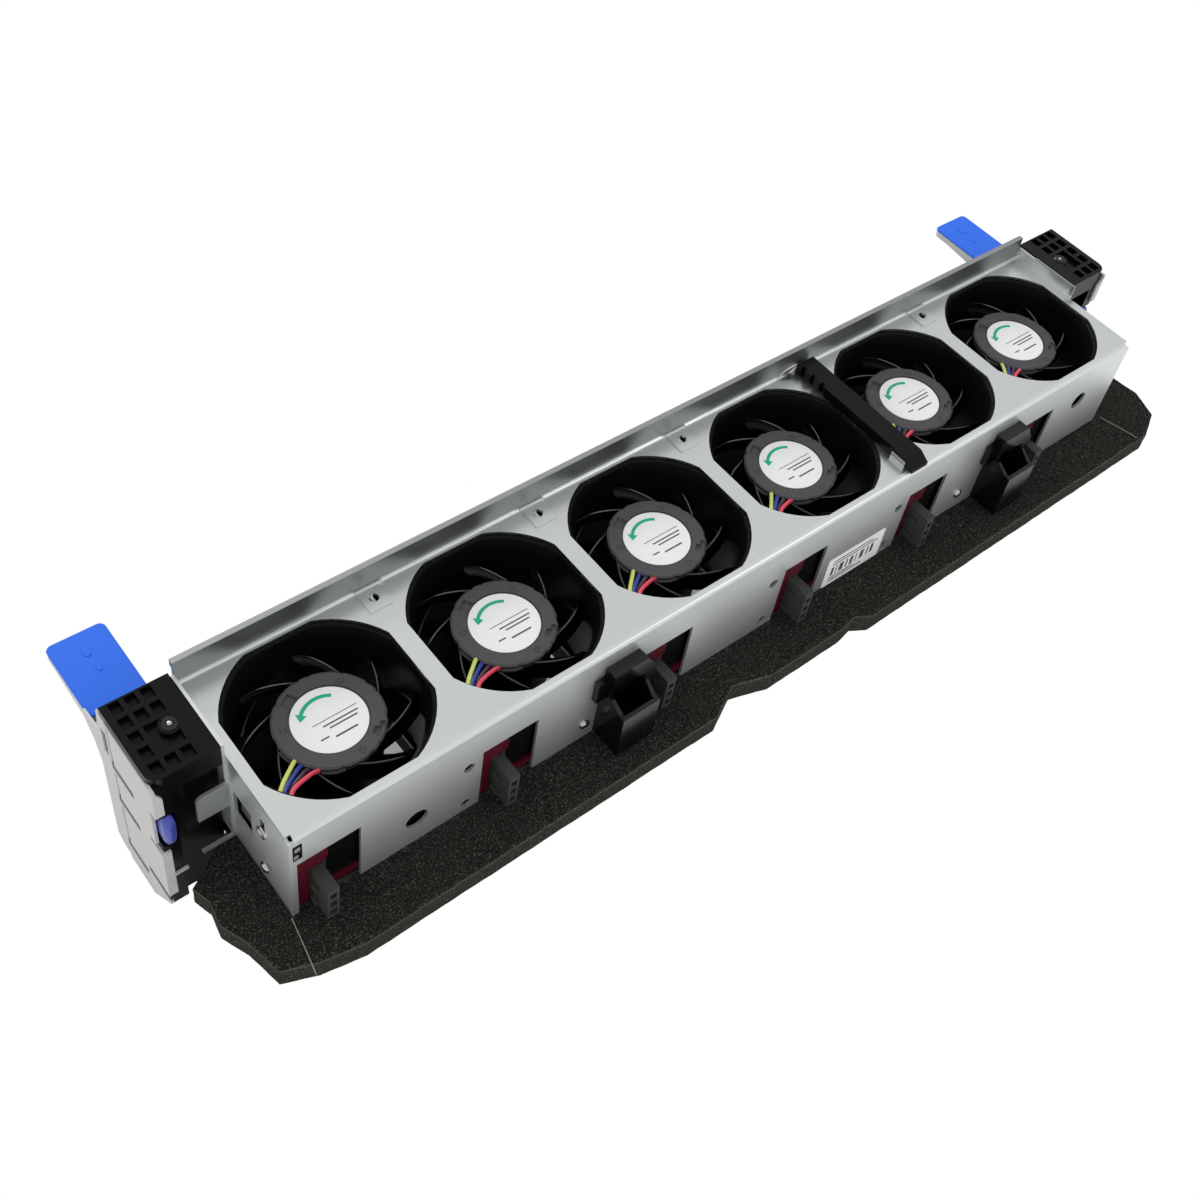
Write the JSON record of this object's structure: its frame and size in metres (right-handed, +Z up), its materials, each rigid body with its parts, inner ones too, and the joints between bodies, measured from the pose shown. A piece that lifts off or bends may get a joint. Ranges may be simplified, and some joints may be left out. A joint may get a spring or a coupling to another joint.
{
  "type": "server fan cage",
  "caption": "Folded sheet-steel cage holding a row of plug-in axial fans in pull-out carriers, with a foam seal below and a latch block with folding lever at each end.",
  "frame": {"origin": "middle of the whole plan, foam and levers included, on the plane of the latch blocks' undersides", "axes": "X along the row, Y from the plug side to the pull-out side, Z up through the air outlets"},
  "size_m": [0.4464, 0.1276, 0.0856],
  "materials": {
    "sheet_steel": "galvanised sheet",
    "black_plastic": "moulded",
    "grey_plastic": "moulded",
    "blue_plastic": "moulded",
    "button_plastic": "moulded",
    "carrier_plastic": "moulded",
    "plug_plastic": "moulded",
    "fan_plastic": "moulded",
    "lead_jacket": "smooth",
    "foam": "open-cell foam",
    "pin_steel": "drawn"
  },
  "bodies": {
    "cage": {"outlet_sheet": "sheet_steel", "near_wall": "sheet_steel", "inlet_sheet": "sheet_steel", "end_wall_left": "sheet_steel", "end_wall_right": "sheet_steel", "end_bracket_left": "sheet_steel", "end_bracket_right": "sheet_steel", "divider_1": "sheet_steel", "divider_2": "sheet_steel", "divider_3": "sheet_steel", "divider_4": "sheet_steel", "divider_5": "sheet_steel", "divider_clip": "black_plastic", "guide_bracket_left": "black_plastic", "guide_bracket_right": "black_plastic", "latch_housing_left": "black_plastic", "latch_housing_right": "black_plastic", "latch_cover_left": "black_plastic", "latch_cover_right": "black_plastic", "side_panel_left": "grey_plastic", "side_panel_right": "grey_plastic", "foam_seal": "foam", "lever_pins": "pin_steel"},
    "fan_1": {"fan_1_frame": "fan_plastic", "fan_1_carrier": "carrier_plastic", "fan_1_plug": "plug_plastic", "fan_1_leads": "lead_jacket"},
    "rotor_1": {"fan_1_rotor": "fan_plastic"},
    "fan_2": {"fan_2_frame": "fan_plastic", "fan_2_carrier": "carrier_plastic", "fan_2_plug": "plug_plastic", "fan_2_leads": "lead_jacket"},
    "rotor_2": {"fan_2_rotor": "fan_plastic"},
    "fan_3": {"fan_3_frame": "fan_plastic", "fan_3_carrier": "carrier_plastic", "fan_3_plug": "plug_plastic", "fan_3_leads": "lead_jacket"},
    "rotor_3": {"fan_3_rotor": "fan_plastic"},
    "fan_4": {"fan_4_frame": "fan_plastic", "fan_4_carrier": "carrier_plastic", "fan_4_plug": "plug_plastic", "fan_4_leads": "lead_jacket"},
    "rotor_4": {"fan_4_rotor": "fan_plastic"},
    "fan_5": {"fan_5_frame": "fan_plastic", "fan_5_carrier": "carrier_plastic", "fan_5_plug": "plug_plastic", "fan_5_leads": "lead_jacket"},
    "rotor_5": {"fan_5_rotor": "fan_plastic"},
    "fan_6": {"fan_6_frame": "fan_plastic", "fan_6_carrier": "carrier_plastic", "fan_6_plug": "plug_plastic", "fan_6_leads": "lead_jacket"},
    "rotor_6": {"fan_6_rotor": "fan_plastic"},
    "lever_left_arm": {"lever_left": "grey_plastic", "lever_cap_left": "blue_plastic"},
    "button_left": {"release_button_left": "button_plastic"},
    "lever_right_arm": {"lever_right": "grey_plastic", "lever_cap_right": "blue_plastic"},
    "button_right": {"release_button_right": "button_plastic"}
  },
  "joints": [
    {"name": "fan_1_slide", "type": "slide", "parent": "cage", "child": "fan_1", "axis": [0, 1, 0], "range_m": [0, 0.08]},
    {"name": "rotor_1_spin", "type": "hinge", "parent": "fan_1", "child": "rotor_1", "pos_m": [-0.1669, -0.0114, 0.05], "axis": [0, 0, 1], "continuous": true},
    {"name": "fan_2_slide", "type": "slide", "parent": "cage", "child": "fan_2", "axis": [0, 1, 0], "range_m": [0, 0.08]},
    {"name": "rotor_2_spin", "type": "hinge", "parent": "fan_2", "child": "rotor_2", "pos_m": [-0.1019, -0.0114, 0.05], "axis": [0, 0, 1], "continuous": true},
    {"name": "fan_3_slide", "type": "slide", "parent": "cage", "child": "fan_3", "axis": [0, 1, 0], "range_m": [0, 0.08]},
    {"name": "rotor_3_spin", "type": "hinge", "parent": "fan_3", "child": "rotor_3", "pos_m": [-0.0369, -0.0114, 0.05], "axis": [0, 0, 1], "continuous": true},
    {"name": "fan_4_slide", "type": "slide", "parent": "cage", "child": "fan_4", "axis": [0, 1, 0], "range_m": [0, 0.08]},
    {"name": "rotor_4_spin", "type": "hinge", "parent": "fan_4", "child": "rotor_4", "pos_m": [0.0281, -0.0114, 0.05], "axis": [0, 0, 1], "continuous": true},
    {"name": "fan_5_slide", "type": "slide", "parent": "cage", "child": "fan_5", "axis": [0, 1, 0], "range_m": [0, 0.08]},
    {"name": "rotor_5_spin", "type": "hinge", "parent": "fan_5", "child": "rotor_5", "pos_m": [0.0931, -0.0114, 0.05], "axis": [0, 0, 1], "continuous": true},
    {"name": "fan_6_slide", "type": "slide", "parent": "cage", "child": "fan_6", "axis": [0, 1, 0], "range_m": [0, 0.08]},
    {"name": "rotor_6_spin", "type": "hinge", "parent": "fan_6", "child": "rotor_6", "pos_m": [0.1581, -0.0114, 0.05], "axis": [0, 0, 1], "continuous": true},
    {"name": "lever_left_hinge", "type": "hinge", "parent": "cage", "child": "lever_left_arm", "pos_m": [-0.21165, 0.0271, 0.0564], "axis": [1, 0, 0], "range_deg": [-90, 0]},
    {"name": "button_left_press", "type": "slide", "parent": "cage", "child": "button_left", "axis": [0, 1, 0], "range_m": [0, 0.0025], "stiffness_N_per_m": 300},
    {"name": "lever_right_hinge", "type": "hinge", "parent": "cage", "child": "lever_right_arm", "pos_m": [0.20285, 0.0271, 0.0564], "axis": [1, 0, 0], "range_deg": [-90, 0]},
    {"name": "button_right_press", "type": "slide", "parent": "cage", "child": "button_right", "axis": [0, 1, 0], "range_m": [0, 0.0025], "stiffness_N_per_m": 300}
  ]
}
